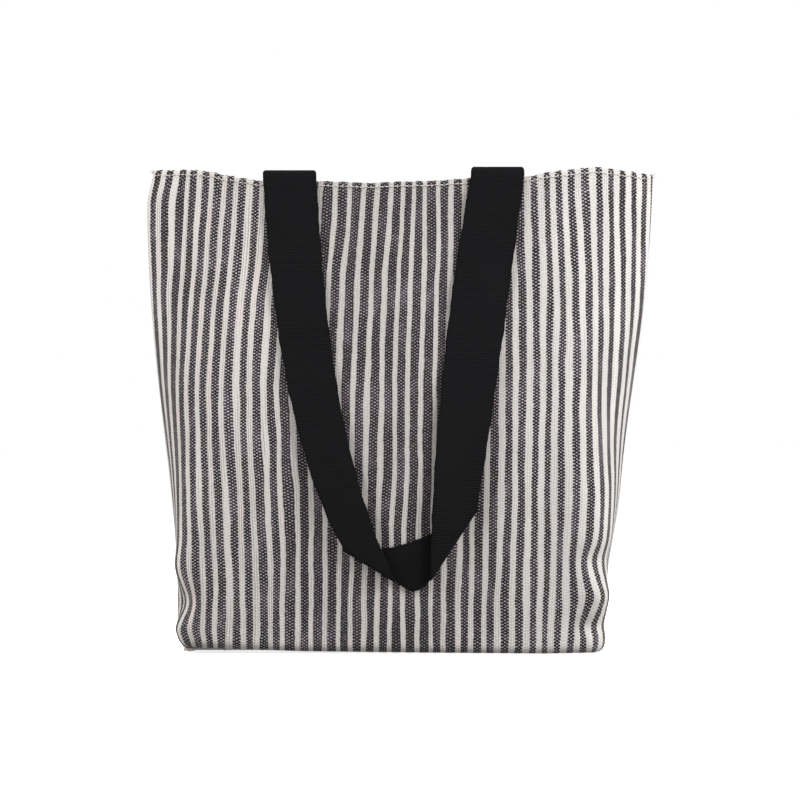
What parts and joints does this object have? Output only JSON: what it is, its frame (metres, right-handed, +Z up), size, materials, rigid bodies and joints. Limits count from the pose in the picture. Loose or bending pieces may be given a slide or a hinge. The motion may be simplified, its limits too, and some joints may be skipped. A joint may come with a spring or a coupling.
{
  "type": "tote bag",
  "caption": "Open striped canvas tote bag with a boxed flat base and black webbing handles that hang over the rim and lift upright.",
  "frame": {"origin": "middle of the flat base, on the surface that the bag stands on", "axes": "+Z up, +X to the right along the bag's width, -Y towards the front, where the front handle hangs"},
  "size_m": [0.385, 0.1082, 0.364],
  "materials": {
    "striped_canvas": "matte coarse woven cotton with black and off-white warp stripes",
    "raw_edge": "overcast raw edges of the same cloth",
    "light_thread": "off-white cotton sewing thread",
    "black_webbing": "matte black cotton webbing with fine cross ribs",
    "black_thread": "black sewing thread, slightly glossy"
  },
  "bodies": {
    "bag": {"front_panel": "striped_canvas", "back_panel": "striped_canvas", "front_hem": "striped_canvas", "back_hem": "striped_canvas", "left_side_seam": "raw_edge", "right_side_seam": "raw_edge", "base_seam": "raw_edge", "left_corner_seam": "raw_edge", "right_corner_seam": "raw_edge", "front_hem_stitching": "light_thread", "back_hem_stitching": "light_thread", "front_left_tail": "black_webbing", "front_right_tail": "black_webbing", "back_left_tail": "black_webbing", "back_right_tail": "black_webbing", "front_left_stitching": "black_thread", "front_right_stitching": "black_thread", "back_left_stitching": "black_thread", "back_right_stitching": "black_thread"},
    "front_handle": {"front_handle": "black_webbing"},
    "back_handle": {"back_handle": "black_webbing"}
  },
  "joints": [
    {"name": "front_handle_lift", "type": "hinge", "parent": "bag", "child": "front_handle", "pos_m": [0, -0.03069, 0.3583], "axis": [-1, 0, 0], "range_deg": [0, 178]},
    {"name": "back_handle_lift", "type": "hinge", "parent": "bag", "child": "back_handle", "pos_m": [0, 0.03069, 0.3583], "axis": [1, 0, 0], "range_deg": [0, 178]}
  ]
}
